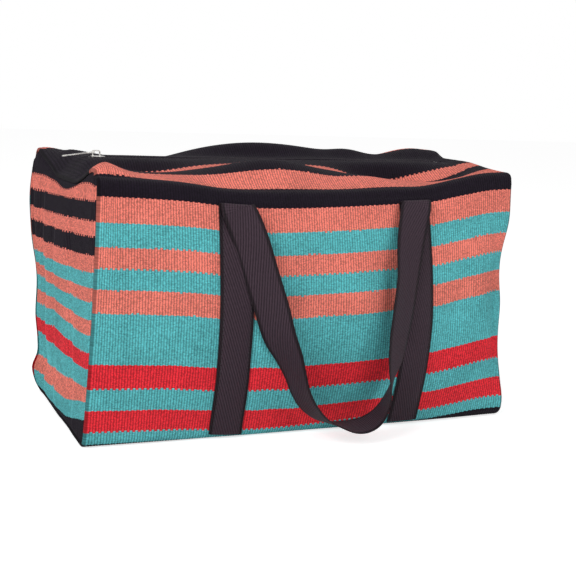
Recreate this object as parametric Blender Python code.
# Striped cotton duffle bag, empty and a little slumped, standing on its flat bottom.
# Metres, +Z up. The origin is on the floor under the middle of the bag, the bag's length
# runs along X and its front faces -Y. The back is the front turned half a turn about Z.
#
# One woven cloth wraps round the bag from one edge of the zip, over the front, under the
# bottom and up the back to the zip's other edge. Two end panels close the tube. A webbing
# strap on each side is sewn up the panel, folds over and hangs down as a limp handle.

import bmesh
import bpy
import numpy as np
from math import asin, cos, pi, radians, sin
from mathutils import Vector

for old in list(bpy.data.objects):
    bpy.data.objects.remove(old, do_unlink=True)

# Driving dimensions of the bag
LENGTH = 0.512
DEPTH = 0.240
HEIGHT = 0.285
CLOTH = 0.003
GAP = 0.0003
# Room between an end panel's edges and the wrap's inner side
PANEL_CLEAR = 0.0012
BOTTOM_RADIUS = 0.012
FOLD_RADIUS = 0.009
LEFT_BULGE = 0.0087
RIGHT_BULGE = 0.0173
BASE_SKEW = 0.010
# The end panels' one long crease, in shares of the panel's width, height and bulge
CREASE_PLACE = 0.72
CREASE_SLANT = 0.08
CREASE_REACH = 0.06
CREASE_DEEP = 0.45

# The zip lies straight and level along the middle of the top, set in from the bag's ends
ZIP_INSET = 0.028
ZIP_RISE = 0.014
ZIP_HALF = LENGTH / 2 - ZIP_INSET
ZIP_TOP = HEIGHT + ZIP_RISE
SLOT_HALF = 0.008
FLAT_BESIDE_ZIP = 0.020
END_DIP = 0.022
TAPE_THICK = 0.0008
TAPE_OUTER = 0.017
TAPE_INNER = 0.0014
CHAIN_INNER = 0.0010
CHAIN_OUTER = 0.0036
CHAIN_HIGH = 0.0022
TOOTH_PITCH = 0.006
TOOTH_DEEP = 0.0010
ZIP_END_CLEAR = 0.0025

# Slider, pull and stops. The bridge is the arch on the slider that the pull's ring turns in
SLIDER_FROM_END = 0.013
SLIDER_X = SLIDER_FROM_END - ZIP_HALF
SLIDER_LONG = 0.015
SLIDER_WIDE = 0.011
SLIDER_ROUND = 0.0033
SLIDER_PLAY = 0.0004
PLATE_THICK = 0.0013
POST_LONG = 0.0050
POST_WIDE = 0.0012
BRIDGE_LONG = 0.0095
BRIDGE_WIDE = 0.0024
BRIDGE_CLEAR = 0.0053
BRIDGE_THICK = 0.0012
BRIDGE_ROUND = 0.0022
BRIDGE_ROOM = 0.0005
HINGE_BEFORE_NOSE = 0.0030
HINGE_ABOVE_PLATE = 0.0042
PULL_LONG = 0.036
PULL_WIDE = 0.0050
PULL_NECK = 0.0031
PULL_THICK = 0.0012
PULL_RING = 0.0120
PULL_RIM = 0.0011
PULL_SHOULDER = 0.0022
BULB_LONG = 0.0075
HOLE_LONG = 0.0038
HOLE_WIDE = 0.0018
STOP_LONG = 0.0022
STOP_WIDE = 0.0030
STOP_HIGH = 0.0026
EDGE_ROUND = 0.0005

# Webbing straps, 38 mm wide, with their middles on the front panel
WEB_WIDE = 0.038
WEB_THICK = 0.0018
RUN_LEFT = -0.100
RUN_RIGHT = 0.119
RUN_START = 0.012
RUN_BOTTOM = 0.006
FOLD_OVER = 0.0027
SEWN_GAP = 0.0006
FOLD_STEPS = 6

# How finely the shapes are divided
COLUMN_STEP = 0.024
BAND_STEP = 0.027
CORNER_STEP = 0.009
TOP_STEP = 0.10
OUTLINE_POINTS = 70
ROUND_POINTS = 9
PATH_STEP = 0.014
PANEL_COLUMNS = 24
PANEL_FOOT_STEP = 0.02

# Stripes of the wrap, from the front-top fold down to the bottom edge, as widths of cloth
FRONT_BANDS = (
    ("black", 0.0184),
    ("coral", 0.0239),
    ("teal", 0.0239),
    ("coral", 0.0220),
    ("teal", 0.0222),
    ("coral", 0.0249),
    ("teal", 0.0561),
    ("red", 0.0260),
    ("teal", 0.0252),
    ("red", 0.0241),
    ("teal", 0.0163),
    ("black", 0.0200),
)
# Stripes of the wrap from the fold in towards the zip, as shares of that stretch of cloth
TOP_BANDS = (("black", 0.14), ("coral", 0.20), ("black", 0.19), ("coral", 0.17), ("black", 0.30))
# Stripes of an end panel from its top down, as shares of its height
END_BANDS = (
    ("black", 0.050),
    ("coral", 0.051),
    ("black", 0.070),
    ("coral", 0.066),
    ("black", 0.070),
    ("coral", 0.062),
    ("teal", 0.058),
    ("coral", 0.051),
    ("teal", 0.070),
    ("coral", 0.054),
    ("teal", 0.070),
    ("red", 0.059),
    ("teal", 0.069),
    ("coral", 0.056),
    ("teal", 0.068),
    ("black", 0.076),
)

# How the empty bag slumps. Each curve is read along X at the front, and for the back at -X.
# Height of the front-top fold above its full height, then how far the belly stands out.
FOLD_SAG = (
    (-0.256, 0.003),
    (-0.200, 0.000),
    (-0.150, -0.004),
    (-0.110, -0.009),
    (0.020, -0.011),
    (0.100, -0.008),
    (0.140, -0.006),
    (0.184, 0.002),
    (0.225, 0.010),
    (0.256, 0.014),
)
BELLY = (
    (-0.256, 0.008),
    (-0.119, 0.022),
    (0.000, 0.024),
    (0.119, 0.030),
    (0.200, 0.021),
    (0.256, 0.007),
)
# How far each upright seam strays outwards along X, read up its height: the left front and
# right back ones, the right front one, and the left back one
SEAM_LEAN = ((0.000, 0.002), (0.140, -0.003), (0.285, -0.008))
SEAM_PINCH = (
    (0.000, 0.004),
    (0.018, 0.005),
    (0.050, -0.003),
    (0.085, -0.010),
    (0.140, -0.011),
    (0.195, -0.013),
    (0.240, -0.001),
    (0.285, 0.001),
)
SEAM_WAVE = (
    (0.000, -0.008),
    (0.015, -0.002),
    (0.030, 0.001),
    (0.048, -0.006),
    (0.065, -0.006),
    (0.095, -0.003),
    (0.140, -0.004),
    (0.200, 0.005),
    (0.250, 0.008),
    (0.285, 0.004),
)
# Swells and hollows of the top: middle x and y, reach along x and y, height
TOP_SWELLS = (
    (-0.040, -0.076, 0.070, 0.022, 0.021),
    (0.148, -0.050, 0.052, 0.024, -0.030),
    (-0.236, -0.092, 0.026, 0.030, 0.012),
    (0.012, 0.062, 0.112, 0.046, 0.020),
    (0.220, 0.050, 0.052, 0.046, 0.018),
    (0.125, 0.060, 0.030, 0.050, 0.004),
    (-0.150, 0.058, 0.050, 0.050, -0.009),
    (-0.236, 0.096, 0.030, 0.030, 0.010),
)

# The handle's free loop between its two folds: place along the bag, stand-off from the panel,
# height, and which way the webbing's width lies there
HANDLE_ROUTE = (
    ((-0.082, -0.008, 0.206), (0.98, -0.05, 0.20)),
    ((-0.066, -0.010, 0.150), (0.96, -0.10, 0.30)),
    ((-0.051, -0.013, 0.112), (0.88, -0.30, 0.35)),
    ((-0.033, -0.018, 0.074), (0.66, -0.66, 0.30)),
    ((-0.014, -0.028, 0.041), (0.42, -0.88, 0.14)),
    ((0.008, -0.036, 0.0210), (0.22, -0.96, -0.10)),
    ((0.034, -0.042, 0.0140), (0.14, -0.96, -0.20)),
    ((0.057, -0.040, 0.0220), (0.10, -0.97, -0.22)),
    ((0.071, -0.033, 0.0440), (-0.10, -0.99, -0.05)),
    ((0.075, -0.028, 0.072), (-0.34, -0.94, 0.00)),
    ((0.080, -0.022, 0.112), (-0.72, -0.68, 0.02)),
    ((0.091, -0.016, 0.154), (-0.93, -0.35, 0.06)),
    ((0.102, -0.011, 0.208), (-1.00, -0.06, 0.05)),
)

COLOURS = {
    "coral": ((0.76, 0.21, 0.15), 0.9, 0.0),
    "teal": ((0.09, 0.43, 0.43), 0.9, 0.0),
    "red": ((0.68, 0.03, 0.035), 0.9, 0.0),
    "black": ((0.018, 0.014, 0.026), 0.95, 0.0),
    "webbing": ((0.045, 0.032, 0.040), 0.65, 0.0),
    "tape": ((0.012, 0.011, 0.014), 0.85, 0.0),
    "chain": ((0.015, 0.014, 0.017), 0.45, 0.0),
    "silver": ((0.74, 0.74, 0.75), 0.28, 1.0),
}


def material(name):
    """A Principled material in one of the bag's colours, made the first time it is asked for."""
    found = bpy.data.materials.get(name)
    if found:
        return found
    made = bpy.data.materials.new(name)
    made.use_nodes = True
    colour, roughness, metallic = COLOURS[name]
    shader = made.node_tree.nodes["Principled BSDF"]
    shader.inputs["Base Color"].default_value = (*colour, 1.0)
    shader.inputs["Roughness"].default_value = roughness
    shader.inputs["Metallic"].default_value = metallic
    made.diffuse_color = (*colour, 1.0)
    return made


def through(points, x):
    """A smooth curve through points (x, value): cubic pieces whose slopes are the neighbours' average."""
    px, py = np.array(points).T
    slope = np.gradient(py, px)
    x = np.clip(x, px[0], px[-1])
    i = np.clip(np.searchsorted(px, x) - 1, 0, len(px) - 2)
    h = px[i + 1] - px[i]
    t = (x - px[i]) / h
    rise = (1 + 2 * t) * (1 - t) ** 2 * py[i] + t * t * (3 - 2 * t) * py[i + 1]
    return rise + h * (t * (1 - t) ** 2 * slope[i] - t * t * (1 - t) * slope[i + 1])


def ease(t):
    """Rises from 0 to 1 and is level at both ends."""
    t = np.clip(t, 0.0, 1.0)
    return t * t * (3 - 2 * t)


def distances(points):
    """How far along a polyline each of its points lies."""
    return np.concatenate([[0.0], np.cumsum(np.linalg.norm(np.diff(points, axis=0), axis=1))])


def along(points, distance):
    """The points at the given distances along a polyline."""
    run = distances(points)
    return np.stack([np.interp(distance, run, points[:, k]) for k in range(points.shape[1])], axis=1)


def length_of(points):
    """The length of a polyline."""
    return float(distances(points)[-1])


# The outer surface of the cloth, one half at a time. side is -1 for the front and 1 for the
# back, and what is written for the front at x holds for the back at -x.


def fold_height(x, side):
    return HEIGHT + through(FOLD_SAG, -side * x)


def front_depth(x, z, side):
    """How far the front or back panel stands from the middle plane at a place on it."""
    share = np.clip(z / fold_height(x, side), 0.0, 1.0)
    belly = through(BELLY, -side * x) * np.sin(pi * share**0.9)
    skew = BASE_SKEW * (-side * x) / (LENGTH / 2) * (1 - ease(share))
    return DEPTH / 2 + belly + skew


def top_height(x, y):
    """Height of the top: from the zip's level out to the fold, with the swells laid over it."""
    side = 1.0 if y > 0 else -1.0
    dip = END_DIP * ease((abs(x) - ZIP_HALF) / (LENGTH / 2 - ZIP_HALF))
    reach = DEPTH / 2 - FOLD_RADIUS - FLAT_BESIDE_ZIP
    out = (abs(y) - FLAT_BESIDE_ZIP) / reach
    level = (ZIP_TOP - dip) * (1 - ease(out)) + fold_height(x, side) * ease(out)
    swell = sum(
        h * np.exp(-(((x - mx) / rx) ** 2) - ((y - my) / ry) ** 2) for mx, my, rx, ry, h in TOP_SWELLS
    )
    return level + swell * ease(4 * out) * ease(12 * (1 - out))


def half_outline(x, side):
    """Fine outline of one half at x, as (distance from the middle plane, height).

    It runs from the zip's edge to the fold, round it, down the belly and round the bottom
    edge to the middle of the bottom. Also returns the length of cloth from the zip's edge
    to the middle of the fold.
    """
    inner = DEPTH / 2 - FOLD_RADIUS
    top = np.array([(y, top_height(x, side * y)) for y in np.linspace(SLOT_HALF, inner, OUTLINE_POINTS)])
    edge = fold_height(x, side)
    turn = np.linspace(0, pi / 2, ROUND_POINTS)[1:]
    fold = np.stack([inner + FOLD_RADIUS * np.sin(turn), edge - FOLD_RADIUS * (1 - np.cos(turn))], axis=1)
    wall_z = np.linspace(edge - FOLD_RADIUS, BOTTOM_RADIUS, OUTLINE_POINTS * 2)[1:]
    wall = np.stack([front_depth(x, wall_z, side), wall_z], axis=1)
    foot = wall[-1, 0] - BOTTOM_RADIUS
    corner = np.stack([foot + BOTTOM_RADIUS * np.cos(turn), BOTTOM_RADIUS * (1 - np.sin(turn))], axis=1)
    outline = np.concatenate([top, fold, wall, corner, [(0.0, 0.0)]])
    return outline, length_of(top) + FOLD_RADIUS * pi / 4


def band_rows(bands, steps):
    """Where rows of faces lie along a set of stripes, and the colour between each two rows."""
    marks, colours, at = [0.0], [], 0.0
    for (colour, width), step in zip(bands, steps):
        cuts = max(1, int(np.ceil(width / step - 0.01)))
        marks += [at + width * (k + 1) / cuts for k in range(cuts)]
        colours += [colour] * cuts
        at += width
    return np.array(marks), colours


TOP_MARKS, TOP_COLOURS = band_rows(TOP_BANDS, [TOP_STEP] * len(TOP_BANDS))
FRONT_STEPS = [BAND_STEP] * (len(FRONT_BANDS) - 2) + [CORNER_STEP] * 2
FRONT_MARKS, FRONT_COLOURS = band_rows(FRONT_BANDS, FRONT_STEPS)
FOLD_MARKS = FOLD_RADIUS * pi / 4 * np.array([-0.5, 0.0, 0.5, 1.1])
BOTTOM_ROWS = 5
HALF_TURN = np.array([-1.0, -1.0, 1.0])
# Rows of one half, counted from the zip's edge
FOLD_ROW = len(TOP_COLOURS) + 1
FIRST_WALL_ROW = FOLD_ROW + 3
FOOT_ROW = FIRST_WALL_ROW + len(FRONT_COLOURS) - 1
HALF_COLOURS = (
    TOP_COLOURS[::-1] + TOP_COLOURS[:1] + FRONT_COLOURS[:1] * 3 + FRONT_COLOURS[1:] + ["black"] * BOTTOM_ROWS
)


def half_rows(x, side):
    """Rows of one half of the wrap at x, from the zip's edge to just short of the bottom's middle."""
    outline, to_fold = half_outline(x, side)
    on_top = to_fold * (1 - TOP_MARKS[:0:-1])
    down = to_fold + FRONT_MARKS[1:]
    under = np.linspace(down[-1], length_of(outline), BOTTOM_ROWS + 1)[1:-1]
    return along(outline, np.concatenate([on_top, to_fold + FOLD_MARKS, down, under]))


def stations(side):
    """Places of the columns along one side: the ends, the zip's ends, the straps and cuts between."""
    keys = [-LENGTH / 2, -ZIP_HALF]
    for middle in (RUN_LEFT, RUN_RIGHT):
        keys += [middle - WEB_WIDE / 2, middle, middle + WEB_WIDE / 2]
    keys += [ZIP_HALF, LENGTH / 2]
    places = [keys[0]]
    for a, b in zip(keys, keys[1:]):
        cuts = max(1, round((b - a) / COLUMN_STEP))
        places += [a + (b - a) * (k + 1) / cuts for k in range(cuts)]
    places = np.array(places)
    return places if side < 0 else -places[::-1]


def seam_stray(x_side, side, z):
    """How far an end seam strays outwards along X at height z. x_side is -1 left, 1 right."""
    if x_side * side > 0:
        return through(SEAM_LEAN, z)
    return through(SEAM_PINCH if side < 0 else SEAM_WAVE, z)


def wrap_grid():
    """The wrap's outer surface as points[row, column], from the front zip edge round to the back's."""
    front_x, back_x = stations(-1), stations(1)
    last = len(front_x) - 1
    columns = []
    for k, places in enumerate(zip(front_x, back_x)):
        middle_x = sum(places) / 2
        halves = []
        for side, x in zip((-1, 1), places):
            rows = half_rows(x, side)
            # Towards the middle of the top and the bottom a column leans over to meet the other half's
            lean = 1 - ease(rows[:, 0] / (DEPTH / 2 - FOLD_RADIUS))
            row_x = x + (middle_x - x) * lean
            if k in (0, last):
                own, other = (seam_stray(np.sign(x), s, rows[:, 1]) for s in (side, -side))
                row_x = row_x + np.sign(x) * (own + (other - own) * lean / 2)
            halves.append(np.stack([row_x, side * rows[:, 0], rows[:, 1]], axis=1))
        columns.append(np.concatenate([halves[0], [(middle_x, 0.0, 0.0)], halves[1][::-1]]))
    return np.stack(columns, axis=1)


def grid_faces(rows, columns):
    """Quads of a grid of rows by columns, as vertex numbers."""
    r, c = np.meshgrid(np.arange(rows - 1), np.arange(columns - 1), indexing="ij")
    a = (r * columns + c).ravel()
    return np.stack([a, a + 1, a + columns + 1, a + columns], axis=1)


def corner_normals(points, faces):
    """Unit normals at the vertices, from the area-weighted normals of the quads round each."""
    diagonals = np.cross(points[faces[:, 2]] - points[faces[:, 0]], points[faces[:, 3]] - points[faces[:, 1]])
    total = np.zeros_like(points)
    for k in range(4):
        np.add.at(total, faces[:, k], diagonals)
    return total / np.linalg.norm(total, axis=1, keepdims=True)


def make_object(name, points, faces, colours):
    """A mesh object from points, faces and one colour name or one for each face."""
    mesh = bpy.data.meshes.new(name)
    mesh.from_pydata([tuple(p) for p in points], [], [tuple(int(i) for i in f) for f in faces])
    names = [colours] if isinstance(colours, str) else sorted(set(colours))
    for colour in names:
        mesh.materials.append(material(colour))
    if not isinstance(colours, str):
        slots = [names.index(c) for c in colours] + [0] * (len(mesh.polygons) - len(colours))
        mesh.polygons.foreach_set("material_index", slots)
    mesh.shade_smooth()
    mesh.set_sharp_from_angle(angle=radians(40))
    made = bpy.data.objects.new(name, mesh)
    bpy.context.scene.collection.objects.link(made)
    return made


def shell(name, outer, inner, faces, colours):
    """A closed sheet with thickness: the outer faces, the inner ones turned over, and a rim between."""
    count = len(outer)
    edges = np.concatenate([faces[:, [k, (k + 1) % 4]] for k in range(4)])
    pairs = set(map(tuple, edges.tolist()))
    border = [(a, b) for a, b in edges.tolist() if (b, a) not in pairs]
    rim = [(b, a, a + count, b + count) for a, b in border]
    everything = faces.tolist() + (faces[:, ::-1] + count).tolist() + rim
    rim_colour = colours[-1]
    return make_object(
        name, np.concatenate([outer, inner]), everything, list(colours) * 2 + [rim_colour] * len(rim)
    )


def body_cloth():
    """The one striped cloth round the bag, open at the zip's slot and at both ends."""
    grid = wrap_grid()
    rows, columns = grid.shape[:2]
    # Rows run down the front and columns to the right, so the quads are turned to face outwards
    faces = grid_faces(rows, columns)[:, ::-1]
    colours = [c for c in HALF_COLOURS + HALF_COLOURS[::-1] for _ in range(columns - 1)]
    # Past each end of the zip the two edges of the cloth are joined
    x = stations(-1)
    joins = [k for k in range(columns - 1) if min(abs(x[k]), abs(x[k + 1])) > ZIP_HALF - 1e-6]
    last = (rows - 1) * columns
    top = [(k, k + 1, last + k + 1, last + k) for k in joins]
    faces = np.concatenate([faces, top])
    colours += ["black"] * len(top)
    points = grid.reshape(-1, 3)
    normals = corner_normals(points, faces)
    shell("body_cloth", points, points - normals * CLOTH, faces, colours)
    return grid, normals.reshape(grid.shape)


def end_panel(name, ring, ring_normals, x_side):
    """An end panel set inside the wrap's open end: a patch between its four edges, pushed out softly."""
    inset = ring - ring_normals * (CLOTH + PANEL_CLEAR)
    inset[:, 0] = ring[:, 0]
    back_fold = len(ring) - 1 - FOLD_ROW
    back_foot = len(ring) - 1 - FOOT_ROW
    front = inset[FOLD_ROW : FOOT_ROW + 1]
    bottom = inset[FOOT_ROW : back_foot + 1]
    back = inset[back_foot : back_fold + 1][::-1]
    top = np.concatenate([inset[: FOLD_ROW + 1][::-1], inset[back_fold:][::-1]])
    # The lowest stripe is divided more finely, to follow the rounded bottom edge
    marks, colours = band_rows(END_BANDS, [1.0] * (len(END_BANDS) - 1) + [PANEL_FOOT_STEP])
    down = marks / marks[-1]
    across = np.linspace(0.0, 1.0, PANEL_COLUMNS + 1)
    sides = [along(line, length_of(line) * shares) for line, shares in
             ((top, across), (bottom, across), (front, down), (back, down))]
    upper, lower, fore, aft = sides
    v, u = down[:, None, None], across[None, :, None]
    blend = (1 - v) * upper[None] + v * lower[None] + (1 - u) * fore[:, None] + u * aft[:, None]
    corners = (1 - u) * (1 - v) * upper[0] + u * (1 - v) * upper[-1] + (1 - u) * v * lower[0] + u * v * lower[-1]
    patch = blend - corners
    # The panel swells most a third of the way down, with one long crease down its further half
    turn = across if x_side < 0 else 1 - across
    swell = np.sin(pi * down[:, None] ** 0.75) * np.sin(pi * across[None]) ** 0.8
    crease_at = CREASE_PLACE + CREASE_SLANT * down[:, None]
    crease = CREASE_DEEP * np.exp(-(((turn[None] - crease_at) / CREASE_REACH) ** 2))
    bulge = LEFT_BULGE if x_side < 0 else RIGHT_BULGE
    patch[..., 0] += x_side * bulge * swell * (1 - crease)
    points = patch.reshape(-1, 3)
    faces = grid_faces(*patch.shape[:2])
    if x_side > 0:
        faces = faces[:, ::-1]
    owner = [c for c in colours for _ in range(PANEL_COLUMNS)]
    shell(name, points, points - np.array([x_side * CLOTH, 0, 0]), faces, owner)


def spline(points, at, stops):
    """Points on a smooth curve through the given ones, at places measured along their chords."""
    return np.stack([through(list(zip(stops, column)), at) for column in np.asarray(points).T], axis=1)


def run_sections(grid, normals, middle_x):
    """The sewn run's sections from its foot to its top, each three points wide, and their normals."""
    k = int(np.argmin(np.abs(stations(-1) - middle_x)))
    half = len(grid) // 2
    z = grid[:half, k, 2]
    low = FIRST_WALL_ROW + int(np.argmax(z[FIRST_WALL_ROW:] < RUN_BOTTOM))
    share = (z[low - 1] - RUN_BOTTOM) / (z[low - 1] - z[low])
    sections, facing = [], []
    for column in (k - 1, k, k + 1):
        line, out = grid[:half, column], normals[:half, column]
        run = distances(line)
        end = run[low - 1] + share * (run[low] - run[low - 1])
        at = np.concatenate([[run[FOLD_ROW] + RUN_START], run[FIRST_WALL_ROW:low], [end]])[::-1]
        sections.append(along(line, at))
        turned = np.stack([np.interp(at, run, out[:, j]) for j in range(3)], axis=1)
        facing.append(turned / np.linalg.norm(turned, axis=1, keepdims=True))
    return np.stack(sections, axis=1), np.stack(facing, axis=1)


def fold_over(run, facing):
    """Sections of the half turn at a run's top, where the webbing folds over towards the front."""
    up = run[-1, 1] - run[-2, 1]
    up = up / np.linalg.norm(up)
    out = facing.mean(axis=0)
    out = out / np.linalg.norm(out)
    turn = np.linspace(0, pi, FOLD_STEPS + 1)[1:, None, None]
    return run[-1] + out * FOLD_OVER * (1 - np.cos(turn)) + up * FOLD_OVER * np.sin(turn)


def handle_sections(grid, normals):
    """Mid-surface sections of a whole strap: up the left run, over, round the loop, over and down."""
    lift = SEWN_GAP + WEB_THICK / 2
    left, left_n = run_sections(grid, normals, RUN_LEFT)
    right, right_n = run_sections(grid, normals, RUN_RIGHT)
    left, right = left + left_n * lift, right + right_n * lift

    left_turn, right_turn = fold_over(left, left_n[-1]), fold_over(right, right_n[-1])
    first, final = left_turn[-1], right_turn[-1]
    places = [first[1]]
    widths = [first[2] - first[0]]
    for (x, off, z), wide in HANDLE_ROUTE:
        places.append(np.array([x, -float(front_depth(x, z, -1)) + off, z]))
        widths.append(np.array(wide))
    places.append(final[1])
    widths.append(final[0] - final[2])
    places = np.array(places)
    widths = np.array([w / np.linalg.norm(w) for w in widths])
    stops = distances(places)
    count = round(stops[-1] / PATH_STEP)
    at = np.linspace(0.0, stops[-1], count + 1)
    path = spline(places, at, stops)
    wide = spline(widths, at, stops)
    tangent = np.gradient(path, axis=0)
    tangent /= np.linalg.norm(tangent, axis=1, keepdims=True)
    wide -= tangent * (wide * tangent).sum(axis=1, keepdims=True)
    wide *= WEB_WIDE / 2 / np.linalg.norm(wide, axis=1, keepdims=True)
    loop = np.stack([path - wide, path, path + wide], axis=1)[1:-1]
    # On the right run the strap goes down again, so its two edges change places
    down = np.concatenate([right_turn[::-1], right[::-1]])[:, ::-1]
    whole = np.concatenate([left, left_turn, loop, down])
    print("handle loop of webbing", round(length_of(path) * 1000), "mm")
    return whole


def strap(name, grid, normals, turned):
    """One strap of webbing: a flat bar carried through its sections, six corners in each."""
    if turned:
        # The back strap is worked out on the bag turned half a turn about Z, and turned back
        grid, normals = (a[::-1, ::-1] * HALF_TURN for a in (grid, normals))
    sections = handle_sections(grid, normals)
    along_it = np.gradient(sections[:, 1], axis=0)
    across_it = sections[:, 2] - sections[:, 0]
    facing = np.cross(across_it, along_it)
    facing /= np.linalg.norm(facing, axis=1, keepdims=True)
    thick = facing[:, None] * WEB_THICK / 2
    front, back = sections + thick, sections - thick
    loops = np.concatenate([front, back[:, ::-1]], axis=1)
    if turned:
        loops = loops * HALF_TURN
    count, corners = loops.shape[:2]
    faces = []
    for k in range(count - 1):
        for j in range(corners):
            a, b = k * corners + j, k * corners + (j + 1) % corners
            faces.append((a, b, b + corners, a + corners))
    faces.append(tuple(range(corners))[::-1])
    faces.append(tuple(range((count - 1) * corners, count * corners)))
    made = make_object(name, loops.reshape(-1, 3), faces, "webbing")
    bm = bmesh.new()
    bm.from_mesh(made.data)
    bmesh.ops.recalc_face_normals(bm, faces=bm.faces)
    bm.to_mesh(made.data)
    bm.free()


def prism(name, outlines, low, high, colour, plane="xy"):
    """A plate from outlines in a plane, the first solid and the others cut out of it."""
    bm = bmesh.new()
    edges = []
    for outline in outlines:
        ring = [bm.verts.new((x, y, 0.0)) for x, y in outline]
        edges += [bm.edges.new((a, b)) for a, b in zip(ring, ring[1:] + ring[:1])]
    filled = bmesh.ops.triangle_fill(bm, use_beauty=True, use_dissolve=False, edges=edges, normal=(0, 0, 1))
    flat = [f for f in filled["geom"] if isinstance(f, bmesh.types.BMFace)]
    raised = bmesh.ops.extrude_face_region(bm, geom=flat)
    for v in raised["geom"]:
        if isinstance(v, bmesh.types.BMVert):
            v.co.z = high - low
    bmesh.ops.recalc_face_normals(bm, faces=bm.faces)
    for v in bm.verts:
        x, y, z = v.co
        v.co = Vector((x, y, z + low)) if plane == "xy" else Vector((x, -z - low, y))
    bmesh.ops.recalc_face_normals(bm, faces=bm.faces)
    mesh = bpy.data.meshes.new(name)
    bm.to_mesh(mesh)
    bm.free()
    mesh.materials.append(material(colour))
    made = bpy.data.objects.new(name, mesh)
    bpy.context.scene.collection.objects.link(made)
    return made


def rounded(x0, x1, y0, y1, r, steps=4):
    """A rectangle's outline with round corners."""
    points = []
    for cx, cy, start in ((x1 - r, y1 - r, 0), (x0 + r, y1 - r, 1), (x0 + r, y0 + r, 2), (x1 - r, y0 + r, 3)):
        for k in range(steps + 1):
            angle = pi / 2 * (start + k / steps)
            points.append((cx + r * cos(angle), cy + r * sin(angle)))
    return points


def arch_outline(x0, x1, low, high, r):
    """An arch's outline: square at its foot and round at its two upper corners."""
    steps = 4
    return rounded(x0, x1, low, high, r, steps)[: 2 * steps + 2] + [(x0, low), (x1, low)]


def unite(whole, parts):
    """Joins parts into one body and removes them."""
    for part in parts:
        boolean = whole.modifiers.new("join", "BOOLEAN")
        boolean.operation = "UNION"
        boolean.solver = "EXACT"
        boolean.object = part
    depsgraph = bpy.context.evaluated_depsgraph_get()
    mesh = bpy.data.meshes.new_from_object(whole.evaluated_get(depsgraph))
    whole.modifiers.clear()
    whole.data = mesh
    for part in parts:
        bpy.data.objects.remove(part, do_unlink=True)


# Levels of the zip: the tapes under the cloth's edges, the chain on them, the slider round both
TAPE_TOP = ZIP_TOP - CLOTH - GAP
TAPE_LOW = TAPE_TOP - TAPE_THICK
CHAIN_LOW = TAPE_TOP + GAP
CHAIN_TOP = CHAIN_LOW + CHAIN_HIGH
PLATE_LOW = CHAIN_TOP + SLIDER_PLAY
PLATE_TOP = PLATE_LOW + PLATE_THICK
NOSE_X = SLIDER_X - SLIDER_LONG / 2
HINGE_X = NOSE_X + HINGE_BEFORE_NOSE
HINGE_Z = PLATE_TOP + HINGE_ABOVE_PLATE
# The pull droops from its hinge as far as it can while its tip still clears the chain
PULL_HANG = asin((HINGE_Z - PULL_THICK / 2 - CHAIN_TOP - 2 * GAP) / PULL_LONG)


def zip_tapes_and_chain():
    """Two tapes under the cloth's edges, each with its half of the toothed chain and its end stop."""
    half = ZIP_HALF - ZIP_END_CLEAR
    chain_half = half - STOP_LONG - 2 * GAP
    teeth = int(2 * chain_half / TOOTH_PITCH)
    valley = CHAIN_INNER + TOOTH_DEEP
    toothed = teeth * TOOTH_PITCH / 2
    for side, word in ((-1, "front"), (1, "back")):
        outline = [(-half, side * TAPE_INNER), (half, side * TAPE_INNER)]
        outline += [(half, side * TAPE_OUTER), (-half, side * TAPE_OUTER)]
        prism(f"zip_tape_{word}", [outline], TAPE_LOW, TAPE_TOP, "tape")
        comb = [(-toothed, side * CHAIN_OUTER)]
        for k in range(teeth):
            x = k * TOOTH_PITCH - toothed
            comb += [(x, side * valley), (x + 0.3 * TOOTH_PITCH, side * CHAIN_INNER)]
            comb += [(x + 0.6 * TOOTH_PITCH, side * CHAIN_INNER), (x + 0.9 * TOOTH_PITCH, side * valley)]
        comb += [(toothed, side * valley), (toothed, side * CHAIN_OUTER)]
        prism(f"zip_chain_{word}", [comb], CHAIN_LOW, CHAIN_TOP, "chain")
        y0, y1 = sorted((side * CHAIN_INNER, side * (CHAIN_INNER + STOP_WIDE)))
        stop = rounded(-half + GAP, -chain_half - GAP, y0, y1, EDGE_ROUND, 2)
        prism(f"zip_top_stop_{word}", [stop], CHAIN_LOW, CHAIN_LOW + STOP_HIGH, "silver")
    wide = CHAIN_INNER + STOP_WIDE
    end_stop = rounded(chain_half + GAP, half - GAP, -wide, wide, EDGE_ROUND, 2)
    prism("zip_bottom_stop", [end_stop], CHAIN_LOW, CHAIN_LOW + STOP_HIGH, "silver")


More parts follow.
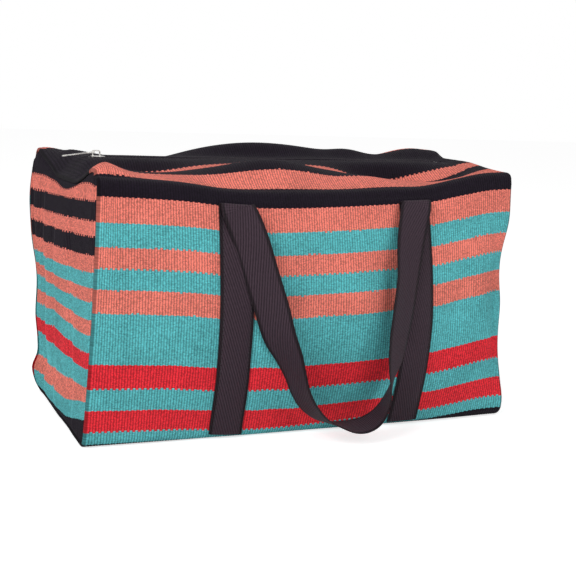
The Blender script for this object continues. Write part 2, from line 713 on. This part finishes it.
def zip_slider():
    """The slider: two plates above and below the chain, a post between its halves and a bridge on top."""
    plate = rounded(NOSE_X, NOSE_X + SLIDER_LONG, -SLIDER_WIDE / 2, SLIDER_WIDE / 2, SLIDER_ROUND)
    top = prism("zip_slider", [plate], PLATE_LOW, PLATE_TOP, "silver")
    low_top = TAPE_LOW - SLIDER_PLAY
    bottom = prism("slider_bottom", [plate], low_top - PLATE_THICK, low_top, "silver")
    # The post and the bridge reach halfway into the plates they are joined to
    sunk = PLATE_THICK / 2
    long, wide = POST_LONG / 2, POST_WIDE / 2
    middle = rounded(SLIDER_X - long, SLIDER_X + long, -wide, wide, EDGE_ROUND, 2)
    post = prism("slider_post", [middle], low_top - sunk, PLATE_LOW + sunk, "silver")
    x0 = HINGE_X - PULL_RIM / 2 - BRIDGE_ROOM - BRIDGE_THICK
    x1 = x0 + BRIDGE_LONG
    arch = arch_outline(x0, x1, PLATE_TOP - sunk, PLATE_TOP + BRIDGE_CLEAR + BRIDGE_THICK, BRIDGE_ROUND)
    hole = arch_outline(
        x0 + BRIDGE_THICK, x1 - BRIDGE_THICK, PLATE_TOP, PLATE_TOP + BRIDGE_CLEAR, BRIDGE_ROUND - BRIDGE_THICK
    )
    bridge = prism("slider_bridge", [arch, hole], -BRIDGE_WIDE / 2, BRIDGE_WIDE / 2, "silver", "xz")
    unite(top, [bottom, post, bridge])


def zip_pull():
    """The pull: a ring that turns in the bridge, and a long flat tab with an oval hole at its tip."""
    half, neck = PULL_WIDE / 2, PULL_NECK / 2
    corners = rounded(-PULL_RING, PULL_RIM / 2, -half, half, EDGE_ROUND, 2)
    near, far = corners[:3], corners[-3:]
    bulb_x = -PULL_LONG + BULB_LONG / 2
    meet = asin(neck / half)
    bulb = [(bulb_x + BULB_LONG / 2 * cos(a), half * sin(a)) for a in np.linspace(meet, 2 * pi - meet, 13)]
    shoulder = -PULL_RING - PULL_SHOULDER
    shape = near + [(-PULL_RING, half), (shoulder, neck)] + bulb + [(shoulder, -neck), (-PULL_RING, -half)] + far
    window = rounded(PULL_RIM - PULL_RING, -PULL_RIM / 2, PULL_RIM - half, half - PULL_RIM, EDGE_ROUND, 2)
    turn = np.linspace(0, 2 * pi, 13)[:-1]
    hole = [(bulb_x + HOLE_LONG / 2 * cos(a), HOLE_WIDE / 2 * sin(a)) for a in turn]
    made = prism("zip_pull", [shape, window, hole], -PULL_THICK / 2, PULL_THICK / 2, "silver")
    made.location = (HINGE_X, 0.0, HINGE_Z)
    made.rotation_euler = (0.0, -PULL_HANG, 0.0)


cloth_grid, cloth_normals = body_cloth()
end_panel("left_end_panel", cloth_grid[:, 0], cloth_normals[:, 0], -1)
end_panel("right_end_panel", cloth_grid[:, -1], cloth_normals[:, -1], 1)
strap("front_handle", cloth_grid, cloth_normals, False)
strap("back_handle", cloth_grid, cloth_normals, True)
zip_tapes_and_chain()
zip_slider()
zip_pull()
